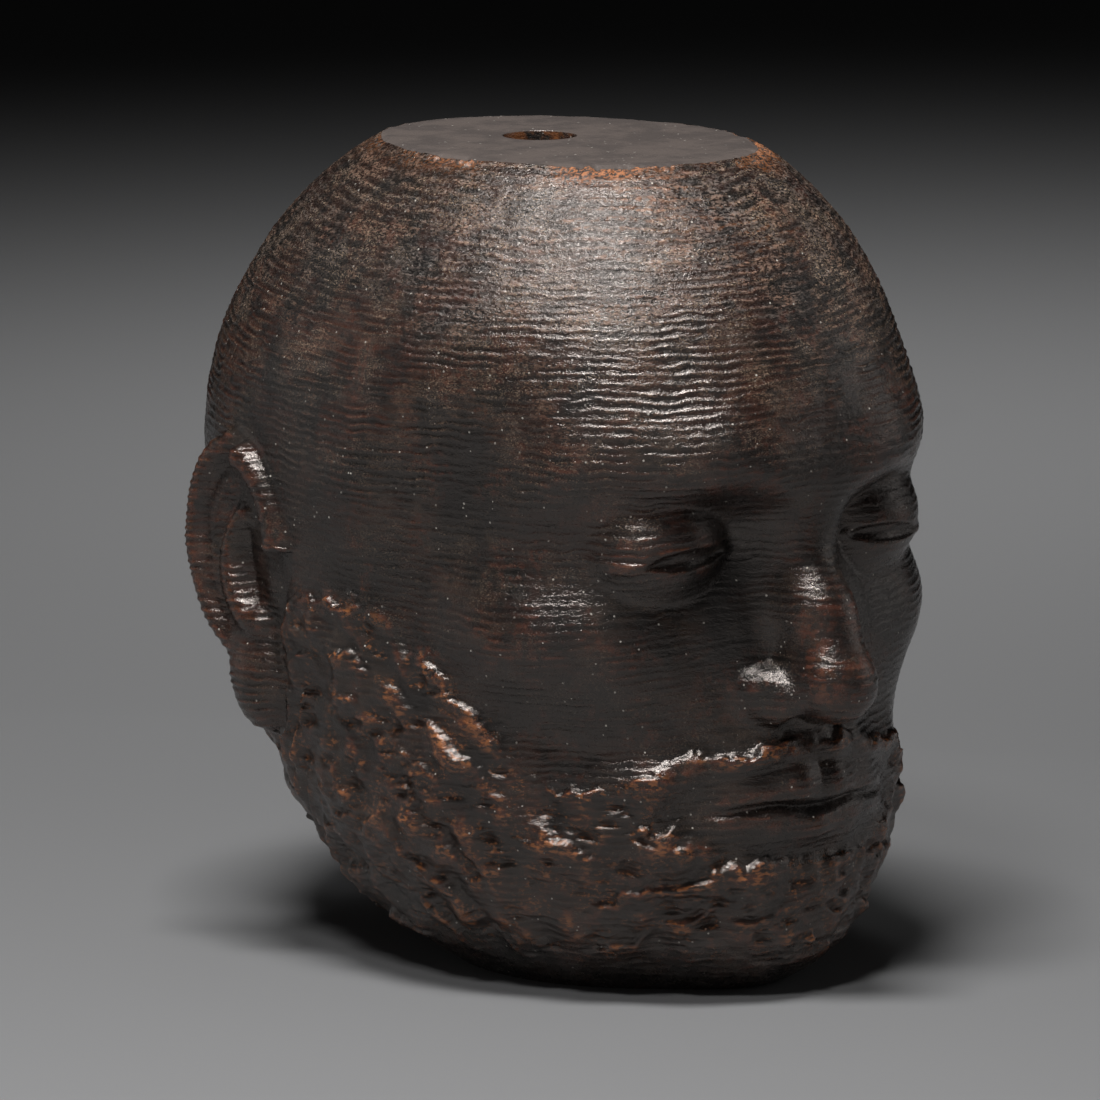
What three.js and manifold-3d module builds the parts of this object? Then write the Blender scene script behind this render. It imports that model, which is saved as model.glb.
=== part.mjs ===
// A carved wood bead: a bald, bearded head, cut flat at the crown and under the chin and drilled for a cord.
// Millimetres. Z is up, the face looks along -Y, and the origin lies on the foot, in the middle of the bead.
import * as THREE from 'three';
import { mergeVertices } from 'three/addons/utils/BufferGeometryUtils.js';
import Module from 'manifold-3d';

// The block
const BEAD_HEIGHT = 24;         // between the flat under the chin and the flat at the crown
const HEAD_WIDTH = 18.8;        // across the skull, without the ears
const HEAD_DEPTH = 23.5;        // from the forehead to the back of the skull
const SKULL_LEVEL = 15.4;       // height of the skull's widest line
const CROWN_WIDTH = 10.1;       // across the flat at the crown
const JAW_WIDTH = 17.5;
const JAW_DEPTH = 19.6;
const JAW_LEVEL = 7.9;
const FOOT_WIDTH = 9;           // across the flat under the chin
const BORE_DIAMETER = 2.2;
const BORE_SETBACK = 0.75;      // from the middle of the skull back to the bore, at the crown
const BORE_LEAN = 3;            // degrees, so that the drill leaves well inside the foot's rear edge

// The face, laid out in thirds: chin to nose, nose to brow, brow to hairline
const FACE_THIRD = 7.5;
const CHIN_LEVEL = 0.7;
const EYE_WIDTH = 3.7;
const NOSE_WIDTH = 3.9;
const MOUTH_WIDTH = 6.4;
const BEARD_THICKNESS = 0.16;
const EAR_RELIEF = 1.05;
const EAR_WIDTH = 4.4;
const EAR_HEIGHT = 8.2;

// Facets
const COLUMNS = 108;
const ROWS = 48;
const BORE_SIDES = 32;
const DRILL_OVERRUN = 1;
const SKIN_TOLERANCE = 0.001;
const STEP_SHARE = 0.6;             // of the gap to the carving that each step of a search takes

// Shares. A place is [across, forward, up]: of half the head's width, of half its depth, and of a face third
// above the chin. Radii, rises and the softness of a join are of a face third where no comment says otherwise.
const SKULL_LEAN_SHARE = 0.07;      // how far the skull leans forward for its height
const JAW_LEAN_SHARE = 0.3;         // how far the jaw leans back for its height
const JAW_SHARES = { forward: 0.065, soft: 0.33 };
const FRONT_SHARES = { place: [0, 0.52, 0.98], radii: [0.76, 0.68, 0.98], soft: 0.24 };
const TEMPLE_SHARES = { place: [1.15, 0.58, 1.88], radii: [0.3, 0.42, 0.38], soft: 0.36 };
const CHEEKBONE_SHARES = { place: [0.52, 0.55, 1.33], radii: [0.4, 0.36, 0.25], soft: 0.3 };
const CHEEK_SHARES = { place: [0.94, 0.85, 0.9], radii: [0.22, 0.34, 0.36], soft: 0.36 };
const SOCKET_SHARES = { place: [0.4, 1.05, 1.7], radii: [0.36, 0.37, 0.24], soft: 0.16 };
const CHEEKBONE_TURN = 38;
const CHEEKBONE_ROLL = -10;
const SOCKET_TURN = 22;

// The brow ridge by bearing from the front, in degrees: its height up the face and how far it stands out
const BROW_SHARES = {
  level: [[0, 1.97], [16, 2.05], [34, 2.04], [56, 1.78]],
  rise: [[0, 0.045], [15, 0.09], [36, 0.045], [56, 0]],
  spreadUp: 0.17,
  spreadDown: 0.11,
};

// Shares of the eye's width, but for its place
const EYE_SHARES = {
  place: [0.4, 0.745, 1.71],
  ball: [0.52, 0.47, 0.43],
  lid: [0.59, 0.535, 0.485],
  upperEdge: { level: -0.11, arch: 0.1 },
  lowerEdge: { level: -0.12, arch: -0.05 },
  slant: -0.03,
  crisp: 0.03,
  softBall: 0.08,
  softUpper: 0.06,
  softLower: 0.08,
};

// Shares of the nose's width, but for its places
const NOSE_SHARES = {
  bridge: [[0, 0.86, 1.95], [0, 0.9, 1.74], [0, 0.99, 1.44], [0, 1.055, 1.2]],
  bridgeRadii: [0.24, 0.2, 0.25, 0.28],
  bridgeBend: 0.2,
  bridgeSoft: 0.26,
  tip: { place: [0, 1.055, 1.145], radii: [0.33, 0.29, 0.25], soft: 0.14 },
  wing: { place: [0.172, 0.955, 1.11], radii: [0.21, 0.33, 0.22], soft: 0.1 },
  nostril: { place: [0.086, 1.03, 0.965], radii: [0.12, 0.19, 0.11], soft: 0.08 },
};
const WING_TURN = 18;

// Shares of a face third
const MUZZLE_SHARES = { place: [0, 0.725, 0.7], radii: [0.53, 0.4, 0.4], soft: 0.18 };
const FOLD_SHARES = {
  line: [[0.27, 1.045, 1.12], [0.4, 0.975, 0.92], [0.48, 0.93, 0.64]],
  radii: [0.065, 0.07, 0.04],
  bend: 0.07,
  soft: 0.17,
};
const CHIN_FOLD_SHARES = { place: [0, 1.06, 0.43], radii: [0.32, 0.12, 0.07], soft: 0.12 };
const CHIN_SHARES = { place: [0, 0.735, 0.23], radii: [0.37, 0.35, 0.27], soft: 0.18 };

// Shares of the mouth's width, but for its places
const LIP_SHARES = {
  upper: [[0, 0.965, 0.745], [0.065, 0.967, 0.762], [0.18, 0.915, 0.735], [0.31, 0.815, 0.69]],
  upperRadii: [0.08, 0.088, 0.08, 0.04],
  upperSoft: 0.075,
  lower: [[0, 0.955, 0.6], [0.13, 0.925, 0.605], [0.29, 0.82, 0.66]],
  lowerRadii: [0.104, 0.094, 0.04],
  lowerSoft: 0.07,
  bend: 0.05,
  groove: [[0, 1.055, 0.96], [0, 1.065, 0.83]],
  grooveRadii: [0.04, 0.05],
  grooveSoft: 0.06,
};
const MOUTH_LINE_SHARES = {
  level: 0.682,     // up the face
  bow: 0.012,
  droop: 0.028,
  depth: 0.045,
  spread: 0.026,
  reach: 1.08,      // of half the mouth's width
};

// The beard's upper edge up the face, by bearing from the front in degrees, and the bare skin round the mouth
const BEARD_SHARES = {
  edge: [[0, 0.96], [12, 0.9], [34, 0.8], [80, 1.42], [94, 1.42], [112, 0.86], [138, 0.8], [165, -0.1]],
  edgeSoft: 0.24,
  mouthLevel: 0.67,
  mouthHalfHeight: 0.17,
  mouthHalfWidth: 0.56,     // of the mouth's width
  mouthSharpness: 2,
};

// Shares of the ear's relief, width and height, in that order: out from the head, back, and up
const EAR_SHARES = {
  place: [0.895, -0.31, 1.44],
  shell: { place: [-0.3, 0.02, 0.07], radii: [1, 0.47, 0.43] },
  lobe: { place: [0.3, -0.06, -0.375], radii: [0.75, 0.27, 0.19], soft: 0.18 },
  rim: { place: [0.33, 0.02, 0.09], reach: [0.41, 0.37], radii: [0.075, 0.1], soft: 0.06 },
  hollow: { place: [0.95, -0.03, 0.05], radii: [0.85, 0.28, 0.27], soft: 0.07 },
  fold: { place: [0.25, -0.08, 0.04], reach: [0.23, 0.2], radii: [0.06, 0.085], soft: 0.06 },
  flap: { place: [0.3, -0.34, -0.06], radii: [0.42, 0.11, 0.095], soft: 0.08 },
  join: 0.08,
};
// Where the columns of facets stand closer, in degrees round from the front, and how much closer
const FACE_CROWD = { middle: 0, spread: 32, extra: 1.9 };
const EAR_CROWD = { middle: 106, spread: 20, extra: 1.3 };
const EAR_TURN = -12;
const EAR_TILT = -7;
const RIM_ARC = [-70, 165];
const FOLD_ARC = [-75, 75];

const { abs, atan2, cos, exp, hypot, max, min, PI, sin, sqrt } = Math;
const radians = (degrees) => (degrees * PI) / 180;
const HALF_WIDTH = HEAD_WIDTH / 2;
const HALF_DEPTH = HEAD_DEPTH / 2;

// How high an egg reaches from its widest line, where a flat cut at that distance from the line is so wide
const eggReach = (cutAway, cutWidth, eggWidth) => cutAway / sqrt(1 - (cutWidth / eggWidth) ** 2);
const SKULL_REACH = eggReach(BEAD_HEIGHT - SKULL_LEVEL, CROWN_WIDTH, HEAD_WIDTH);
const JAW_REACH = eggReach(JAW_LEVEL, FOOT_WIDTH, JAW_WIDTH);

// Joins with a rounded seam: two solids added, and one solid carved out of another
function blend(a, b, soft) {
  const near = max(soft - abs(a - b), 0) / soft;
  return min(a, b) - (near * near * soft) / 4;
}
const carve = (solid, tool, soft) => -blend(-solid, tool, soft);

// The basic shapes, each as the distance from a point to its skin. A point is [across, forward, up].
function turned(a, b, degrees) {
  const s = sin(radians(degrees));
  const c = cos(radians(degrees));
  return [a * c + b * s, b * c - a * s];
}
function ball(point, centre, radii, turn = 0, roll = 0) {
  let [x, f, z] = point.map((value, i) => value - centre[i]);
  [x, f] = turned(x, f, turn);
  [x, z] = turned(x, z, roll);
  const near = hypot(x / radii[0], f / radii[1], z / radii[2]);
  const slope = hypot(x / radii[0] ** 2, f / radii[1] ** 2, z / radii[2] ** 2);
  return slope > 0 ? (near * (near - 1)) / slope : -min(...radii);
}
function rod(point, from, to, radii) {
  const along = from.map((value, i) => to[i] - value);
  const reach = point.map((value, i) => value - from[i]);
  const dot = reach[0] * along[0] + reach[1] * along[1] + reach[2] * along[2];
  const t = min(max(dot / (along[0] ** 2 + along[1] ** 2 + along[2] ** 2), 0), 1);
  const off = hypot(reach[0] - t * along[0], reach[1] - t * along[1], reach[2] - t * along[2]);
  return off - radii[0] - (radii[1] - radii[0]) * t;
}
function chain(point, stops, radii, bend) {
  let distance = Infinity;
  for (let i = 1; i < stops.length; i += 1) {
    const link = rod(point, stops[i - 1], stops[i], [radii[i - 1], radii[i]]);
    distance = i === 1 ? link : blend(distance, link, bend);
  }
  return distance;
}
// A rod bent to an arc of an ellipse that lies across the first axis
function bow(point, centre, reach, arc, radii) {
  const [n, b, w] = point.map((value, i) => value - centre[i]);
  const [start, end] = arc.map(radians);
  const angle = min(max(atan2(w / reach[1], b / reach[0]), start), end);
  const t = (angle - start) / (end - start);
  const off = hypot(n, b - reach[0] * cos(angle), w - reach[1] * sin(angle));
  return off - radii[0] - (radii[1] - radii[0]) * t;
}
// A smooth curve through a few [position, value] stops
function ease(position, stops) {
  const next = stops.findIndex((stop) => stop[0] > position);
  if (next === 0) return stops[0][1];
  if (next < 0) return stops[stops.length - 1][1];
  const t = (position - stops[next - 1][0]) / (stops[next][0] - stops[next - 1][0]);
  return stops[next - 1][1] + (stops[next][1] - stops[next - 1][1]) * t * t * (3 - 2 * t);
}
function ramp(value) {
  const t = min(max(value, 0), 1);
  return t * t * (3 - 2 * t);
}

const place = ([across, forward, up]) => [
  across * HALF_WIDTH,
  forward * HALF_DEPTH,
  CHIN_LEVEL + up * FACE_THIRD,
];
const sized = (shares, size) => shares.map((share) => share * size);
const bearing = ([x, f]) => (atan2(x, f) * 180) / PI;

function skullAndJaw([x, f, z]) {
  const skullForward = f - SKULL_LEAN_SHARE * (z - SKULL_LEVEL);
  const skull = ball([x, skullForward, z], [0, 0, SKULL_LEVEL], [HALF_WIDTH, HALF_DEPTH, SKULL_REACH]);
  const jawForward = f + JAW_LEAN_SHARE * (z - JAW_LEVEL);
  const jawCentre = [0, JAW_SHARES.forward * HALF_DEPTH, JAW_LEVEL];
  const jaw = ball([x, jawForward, z], jawCentre, [JAW_WIDTH / 2, JAW_DEPTH / 2, JAW_REACH]);
  return blend(skull, jaw, JAW_SHARES.soft * FACE_THIRD);
}

function mass(point, shares, turn, roll) {
  return ball(point, place(shares.place), sized(shares.radii, FACE_THIRD), turn, roll);
}
function added(solid, point, shares, turn, roll) {
  return blend(solid, mass(point, shares, turn, roll), shares.soft * FACE_THIRD);
}
function carved(solid, point, shares, turn, roll) {
  return carve(solid, mass(point, shares, turn, roll), shares.soft * FACE_THIRD);
}

function withBrow(solid, point) {
  const level = CHIN_LEVEL + FACE_THIRD * ease(bearing(point), BROW_SHARES.level);
  const rise = FACE_THIRD * ease(bearing(point), BROW_SHARES.rise);
  const spread = FACE_THIRD * (point[2] > level ? BROW_SHARES.spreadUp : BROW_SHARES.spreadDown);
  return solid - rise * exp(-0.5 * ((point[2] - level) / spread) ** 2);
}

function withEye(solid, point) {
  const shares = EYE_SHARES;
  const centre = place(shares.place);
  const along = (point[0] - centre[0]) / (EYE_WIDTH / 2);
  const edge = ({ level, arch }) => {
    return centre[2] + EYE_WIDTH * (level + arch * (1 - along * along) + shares.slant * along);
  };
  const crisp = shares.crisp * EYE_WIDTH;
  const lid = ball(point, centre, sized(shares.lid, EYE_WIDTH));
  const upper = carve(lid, point[2] - edge(shares.upperEdge), crisp);
  const lower = carve(lid, edge(shares.lowerEdge) - point[2], crisp);
  let eye = blend(solid, ball(point, centre, sized(shares.ball, EYE_WIDTH)), shares.softBall * EYE_WIDTH);
  eye = blend(eye, upper, shares.softUpper * EYE_WIDTH);
  return blend(eye, lower, shares.softLower * EYE_WIDTH);
}

function withNose(solid, point) {
  const shares = NOSE_SHARES;
  const part = ({ place: at, radii }, turn) => ball(point, place(at), sized(radii, NOSE_WIDTH), turn);
  const bridgeRadii = sized(shares.bridgeRadii, NOSE_WIDTH);
  const bridge = chain(point, shares.bridge.map(place), bridgeRadii, shares.bridgeBend * NOSE_WIDTH);
  let nose = blend(solid, bridge, shares.bridgeSoft * NOSE_WIDTH);
  nose = blend(nose, part(shares.tip), shares.tip.soft * NOSE_WIDTH);
  nose = blend(nose, part(shares.wing, WING_TURN), shares.wing.soft * NOSE_WIDTH);
  return carve(nose, part(shares.nostril, WING_TURN), shares.nostril.soft * NOSE_WIDTH);
}

function withMouth(solid, point) {
  const lips = LIP_SHARES;
  const fold = sized(FOLD_SHARES.radii, FACE_THIRD);
  const folds = chain(point, FOLD_SHARES.line.map(place), fold, FOLD_SHARES.bend * FACE_THIRD);
  let mouth = carve(added(solid, point, MUZZLE_SHARES), folds, FOLD_SHARES.soft * FACE_THIRD);
  const lip = (stops, radii) => {
    return chain(point, stops.map(place), sized(radii, MOUTH_WIDTH), lips.bend * MOUTH_WIDTH);
  };
  mouth = blend(mouth, lip(lips.upper, lips.upperRadii), lips.upperSoft * MOUTH_WIDTH);
  mouth = blend(mouth, lip(lips.lower, lips.lowerRadii), lips.lowerSoft * MOUTH_WIDTH);
  mouth += mouthLine(point);
  const groove = rod(point, ...lips.groove.map(place), sized(lips.grooveRadii, MOUTH_WIDTH));
  return carve(mouth, groove, lips.grooveSoft * MOUTH_WIDTH);
}

// How deep the line between the lips is cut at a point
function mouthLine([x, f, z]) {
  const shares = MOUTH_LINE_SHARES;
  const along = x / (MOUTH_WIDTH / 2);
  const bend = shares.bow * cos(PI * min(2 * along, 1)) + shares.droop * along * along;
  const level = CHIN_LEVEL + FACE_THIRD * (shares.level - bend);
  const fade = f > 0 ? sqrt(max(shares.reach - along, 0)) : 0;
  return shares.depth * MOUTH_WIDTH * fade * exp(-(((z - level) / (shares.spread * MOUTH_WIDTH)) ** 2));
}

function withBeard(solid, point) {
  const shares = BEARD_SHARES;
  const edge = CHIN_LEVEL + FACE_THIRD * ease(bearing(point), shares.edge);
  const below = ramp((edge - point[2]) / (shares.edgeSoft * FACE_THIRD) + 0.5);
  const across = point[0] / (shares.mouthHalfWidth * MOUTH_WIDTH);
  const up = (point[2] - CHIN_LEVEL - shares.mouthLevel * FACE_THIRD) / (shares.mouthHalfHeight * FACE_THIRD);
  return solid - BEARD_THICKNESS * below * ramp((hypot(across, up) - 1) * shares.mouthSharpness);
}

function ear(point) {
  const shares = EAR_SHARES;
  const centre = place(shares.place);
  let out = point[0] - centre[0];
  let back = centre[1] - point[1];
  let up = point[2] - centre[2];
  [out, back] = turned(out, back, EAR_TURN);
  [back, up] = turned(back, up, EAR_TILT);
  const local = [out, back, up];
  const at = ([n, b, w]) => [n * EAR_RELIEF, b * EAR_WIDTH, w * EAR_HEIGHT];
  const part = ({ place: centreShares, radii }) => ball(local, at(centreShares), at(radii));
  const arc = ({ place: centreShares, reach, radii }, angles) => {
    const size = [reach[0] * EAR_WIDTH, reach[1] * EAR_HEIGHT];
    return bow(local, at(centreShares), size, angles, sized(radii, EAR_WIDTH));
  };
  let solid = blend(part(shares.shell), part(shares.lobe), shares.lobe.soft * EAR_WIDTH);
  solid = blend(solid, arc(shares.rim, RIM_ARC), shares.rim.soft * EAR_WIDTH);
  solid = carve(solid, part(shares.hollow), shares.hollow.soft * EAR_WIDTH);
  solid = blend(solid, arc(shares.fold, FOLD_ARC), shares.fold.soft * EAR_WIDTH);
  return blend(solid, part(shares.flap), shares.flap.soft * EAR_WIDTH);
}

// The whole carving. Both halves are alike, so a point counts by its distance from the middle.
function carving([x, f, z]) {
  const point = [abs(x), f, z];
  let solid = added(skullAndJaw(point), point, FRONT_SHARES);
  solid = carved(solid, point, TEMPLE_SHARES);
  solid = added(solid, point, CHEEKBONE_SHARES, CHEEKBONE_TURN, CHEEKBONE_ROLL);
  solid = carved(solid, point, CHEEK_SHARES);
  solid = carved(solid, point, SOCKET_SHARES, SOCKET_TURN);
  solid = withBrow(solid, point);
  solid = withEye(solid, point);
  solid = withNose(solid, point);
  solid = withMouth(solid, point);
  solid = carved(solid, point, CHIN_FOLD_SHARES);
  solid = added(solid, point, CHIN_SHARES);
  solid = withBeard(solid, point);
  return blend(solid, ear(point), EAR_SHARES.join * EAR_WIDTH);
}

// Walks in along a line of sight until it meets the carving, and gives the distance from the line's origin
function surface(origin, direction) {
  let reach = (HEAD_WIDTH + HEAD_DEPTH) / 2;
  let gap = Infinity;
  while (gap > SKIN_TOLERANCE && reach > 0) {
    gap = carving(origin.map((value, i) => value + direction[i] * reach));
    reach -= STEP_SHARE * max(gap, 0);
  }
  return reach;
}

// Shares out angles from one to another so that they stand closer where crowds say so
function stations(count, from, to, crowds) {
  const finest = 20 * count;
  const step = (to - from) / finest;
  const counted = [0];
  for (let i = 0; i < finest; i += 1) {
    const angle = from + step * (i + 0.5);
    const extra = ({ middle, spread, extra: more }) => more * exp(-(((abs(angle) - middle) / spread) ** 4));
    counted.push(crowds.reduce((sum, crowd) => sum + extra(crowd), counted[i] + 1));
  }
  return Array.from({ length: count }, (_, i) => {
    const wanted = (counted[finest] * i) / count;
    const after = counted.findIndex((value) => value > wanted);
    const part = (wanted - counted[after - 1]) / (counted[after] - counted[after - 1]);
    return from + step * (after - 1 + part);
  });
}

// The skin of the head: rows of points from the foot's edge to the crown's edge, seen from the head's middle
function headSkin() {
  const middle = [0, 0, BEAD_HEIGHT / 2];
  const rows = Array.from({ length: ROWS }, () => []);
  stations(COLUMNS, -180, 180, [FACE_CROWD, EAR_CROWD]).forEach((degrees, column) => {
    const side = radians(degrees);
    const flat = [sin(side), cos(side), 0];
    const foot = surface([0, 0, 0], flat);
    const crown = surface([0, 0, BEAD_HEIGHT], flat);
    const lowest = atan2(-middle[2], foot);
    const highest = atan2(BEAD_HEIGHT - middle[2], crown);
    rows.forEach((row, level) => {
      const rise = lowest + ((highest - lowest) * level) / (ROWS - 1);
      const direction = [flat[0] * cos(rise), flat[1] * cos(rise), sin(rise)];
      const reach = surface(middle, direction);
      row.push(direction.map((value, i) => middle[i] + value * reach));
    });
    rows[0][column] = [flat[0] * foot, flat[1] * foot, 0];
    rows[ROWS - 1][column] = [flat[0] * crown, flat[1] * crown, BEAD_HEIGHT];
  });
  return rows;
}

const skin = headSkin();
const forwards = skin.flat().map((point) => point[1]);
const FACE_SETBACK = (max(...forwards) + min(...forwards)) / 2;   // from the bead's middle to the skull's

function blockGeometry() {
  const positions = skin.flat().flatMap(([x, f, z]) => [x, FACE_SETBACK - f, z]);
  const footMiddle = positions.length / 3;
  positions.push(0, FACE_SETBACK, 0);
  positions.push(0, FACE_SETBACK, BEAD_HEIGHT);
  const indices = [];
  for (let column = 0; column < COLUMNS; column += 1) {
    const next = (column + 1) % COLUMNS;
    for (let level = 0; level < ROWS - 1; level += 1) {
      const here = level * COLUMNS;
      const above = here + COLUMNS;
      indices.push(here + column, above + next, above + column);
      indices.push(here + column, here + next, above + next);
    }
    const top = (ROWS - 1) * COLUMNS;
    indices.push(footMiddle, next, column);
    indices.push(footMiddle + 1, top + column, top + next);
  }
  const geometry = new THREE.BufferGeometry();
  geometry.setAttribute('position', new THREE.Float32BufferAttribute(positions, 3));
  geometry.setIndex(indices);
  return geometry;
}

// The drill stands on the crown at the bore's middle and leans forward as it goes down
function drillGeometry() {
  const length = BEAD_HEIGHT / cos(radians(BORE_LEAN)) + 2 * DRILL_OVERRUN;
  const drill = new THREE.CylinderGeometry(BORE_DIAMETER / 2, BORE_DIAMETER / 2, length, BORE_SIDES);
  drill.translate(0, DRILL_OVERRUN - length / 2, 0);
  drill.rotateX(PI / 2 - radians(BORE_LEAN));
  drill.translate(0, FACE_SETBACK + BORE_SETBACK, BEAD_HEIGHT);
  return drill;
}

const wasm = await Module();
wasm.setup();

function solidOf(source) {
  const geometry = source.clone();
  geometry.deleteAttribute('normal');
  geometry.deleteAttribute('uv');
  const merged = mergeVertices(geometry);
  const vertProperties = Float32Array.from(merged.attributes.position.array);
  const triVerts = Uint32Array.from(merged.index.array);
  return new wasm.Manifold(new wasm.Mesh({ numProp: 3, vertProperties, triVerts }));
}

function geometryOf(solid) {
  const { numProp, vertProperties, triVerts } = solid.getMesh();
  const geometry = new THREE.BufferGeometry();
  const positions = [];
  for (let i = 0; i < vertProperties.length; i += numProp) {
    positions.push(vertProperties[i], vertProperties[i + 1], vertProperties[i + 2]);
  }
  geometry.setAttribute('position', new THREE.Float32BufferAttribute(positions, 3));
  geometry.setIndex(Array.from(triVerts));
  geometry.computeVertexNormals();
  return geometry;
}

const darkWood = new THREE.MeshStandardMaterial({ color: 0x2f2623, roughness: 0.42, metalness: 0 });
const drilledBlock = solidOf(blockGeometry()).subtract(solidOf(drillGeometry()));
const carvedHead = new THREE.Mesh(geometryOf(drilledBlock), darkWood);
carvedHead.name = 'carved_head';

const bead = new THREE.Group();
bead.add(carvedHead);

export default bead;
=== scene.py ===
# A carved wood bead, a bald and bearded head drilled through for a cord, on a grey studio floor.
# Metres. The face looks along -Y. In the carving's own places, forward is -Y from the middle of the skull.
import itertools
import math
import bpy
import numpy as np
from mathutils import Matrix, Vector


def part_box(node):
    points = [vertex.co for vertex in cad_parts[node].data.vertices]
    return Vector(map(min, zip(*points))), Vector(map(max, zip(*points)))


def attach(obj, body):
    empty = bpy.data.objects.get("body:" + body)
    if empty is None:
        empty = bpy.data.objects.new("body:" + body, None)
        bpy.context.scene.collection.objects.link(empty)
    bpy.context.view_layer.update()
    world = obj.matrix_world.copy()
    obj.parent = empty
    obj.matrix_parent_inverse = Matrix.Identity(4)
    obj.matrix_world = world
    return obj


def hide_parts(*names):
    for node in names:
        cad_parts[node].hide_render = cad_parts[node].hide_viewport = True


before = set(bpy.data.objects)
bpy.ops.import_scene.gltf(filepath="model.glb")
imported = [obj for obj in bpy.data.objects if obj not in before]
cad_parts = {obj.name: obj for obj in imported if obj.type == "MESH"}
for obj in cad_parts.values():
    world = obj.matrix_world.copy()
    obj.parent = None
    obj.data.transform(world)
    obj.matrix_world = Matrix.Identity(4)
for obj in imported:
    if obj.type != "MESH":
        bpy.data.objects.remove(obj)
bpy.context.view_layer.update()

# Carved head
# One block of dense dark wood: the ends sawn flat, the face, ears and beard cut with knives, gouges and
# punches, and a cord's bore drilled from the crown. Long handling has darkened and polished it.

# The block's sizes are the CAD part's, in metres.
HEAD_LOW, HEAD_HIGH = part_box("carved_head")
BEAD_HEIGHT = HEAD_HIGH.z - HEAD_LOW.z
HEAD_WIDTH = 0.0188
HEAD_DEPTH = 0.0235
SKULL_LEVEL = 0.0154
CROWN_WIDTH = 0.0101
JAW_WIDTH = 0.0175
JAW_DEPTH = 0.0196
JAW_LEVEL = 0.0079
FOOT_WIDTH = 0.009
BORE_RADIUS = 0.0011
BORE_SETBACK = 0.00075
BORE_LEAN = 3
FACE_THIRD = 0.0075
CHIN_LEVEL = 0.0007
EYE_WIDTH = 0.0037
NOSE_WIDTH = 0.0039
MOUTH_WIDTH = 0.0064
BEARD_THICKNESS = 0.00016
EAR_RELIEF = 0.00105
EAR_WIDTH = 0.0044
EAR_HEIGHT = 0.0082

HALF_WIDTH = HEAD_WIDTH / 2
HALF_DEPTH = HEAD_DEPTH / 2
MIDDLE = (0, 0, BEAD_HEIGHT / 2)


def egg_reach(cut_away, cut_width, egg_width):
    """How high an egg reaches from its widest line, where a flat cut at that distance is so wide"""
    return cut_away / math.sqrt(1 - (cut_width / egg_width) ** 2)


SKULL_REACH = egg_reach(BEAD_HEIGHT - SKULL_LEVEL, CROWN_WIDTH, HEAD_WIDTH)
JAW_REACH = egg_reach(JAW_LEVEL, FOOT_WIDTH, JAW_WIDTH)


# Joins with a rounded seam: two solids added, and one carved out of another
def blend(a, b, soft):
    near = np.maximum(soft - np.abs(a - b), 0) / soft
    return np.minimum(a, b) - near * near * soft / 4


def carve(solid, tool, soft):
    return -blend(-solid, tool, soft)


# The basic shapes, each as the distance from points to its skin. A point is (across, forward, up).
def turned(a, b, degrees):
    s, c = math.sin(math.radians(degrees)), math.cos(math.radians(degrees))
    return a * c + b * s, b * c - a * s


def ball(point, centre, radii, turn=0, roll=0):
    x, f, z = (value - middle for value, middle in zip(point, centre))
    x, f = turned(x, f, turn)
    x, z = turned(x, z, roll)
    x, f, z = x / radii[0], f / radii[1], z / radii[2]
    near = np.sqrt(x * x + f * f + z * z)
    slope = np.sqrt((x / radii[0]) ** 2 + (f / radii[1]) ** 2 + (z / radii[2]) ** 2)
    return near * (near - 1) / np.maximum(slope, 1)


def rod(point, start, end, radii):
    along = np.subtract(end, start)
    x, f, z = (value - first for value, first in zip(point, start))
    t = np.clip((x * along[0] + f * along[1] + z * along[2]) / (along @ along), 0, 1)
    x, f, z = x - t * along[0], f - t * along[1], z - t * along[2]
    return np.sqrt(x * x + f * f + z * z) - radii[0] - (radii[1] - radii[0]) * t


def chain(point, stops, radii, bend):
    links = [rod(point, *ends) for ends in zip(stops, stops[1:], zip(radii, radii[1:]))]
    distance = links[0]
    for link in links[1:]:
        distance = blend(distance, link, bend)
    return distance


def bow(point, centre, reach, arc, radii):
    """A rod bent to an arc of an ellipse that lies across the first axis"""
    n, b, w = (value - middle for value, middle in zip(point, centre))
    start, end = np.radians(arc)
    angle = np.clip(np.arctan2(w / reach[1], b / reach[0]), start, end)
    off = np.sqrt(n * n + (b - reach[0] * np.cos(angle)) ** 2 + (w - reach[1] * np.sin(angle)) ** 2)
    return off - radii[0] - (radii[1] - radii[0]) * (angle - start) / (end - start)


def ramp(value):
    t = np.clip(value, 0, 1)
    return t * t * (3 - 2 * t)


def ease(position, stops):
    """A smooth curve through a few (position, value) stops"""
    places, values = np.array(stops, float).T
    after = np.clip(np.searchsorted(places, position), 1, len(places) - 1)
    share = ramp((position - places[after - 1]) / (places[after] - places[after - 1]))
    return values[after - 1] + (values[after] - values[after - 1]) * share


# Places as shares: of half the head's width, of half its depth, and of a face third above the chin
def place(across, forward, up):
    return across * HALF_WIDTH, forward * HALF_DEPTH, CHIN_LEVEL + up * FACE_THIRD


def sized(shares, size):
    return [share * size for share in shares]


def bearing(point):
    return np.degrees(np.arctan2(np.abs(point[0]), point[1]))


def with_mass(solid, point, at, radii, seam, turn=0, roll=0, cut=False, unit=FACE_THIRD):
    """The solid with a ball added or carved out, its radii and seam as shares of the unit"""
    mass = ball(point, place(*at), sized(radii, unit), turn, roll)
    return (carve if cut else blend)(solid, mass, seam * unit)


SKULL_SLOPE = 0.07          # how far forward a level lies, as a share of its height over the widest one
JAW_SLOPE = -0.3
JAW_FORWARD_SHARE = 0.065
JAW_SEAM_SHARE = 0.33


def sloped(point, slope, level):
    return point[0], point[1] - slope * (point[2] - level), point[2]


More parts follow.
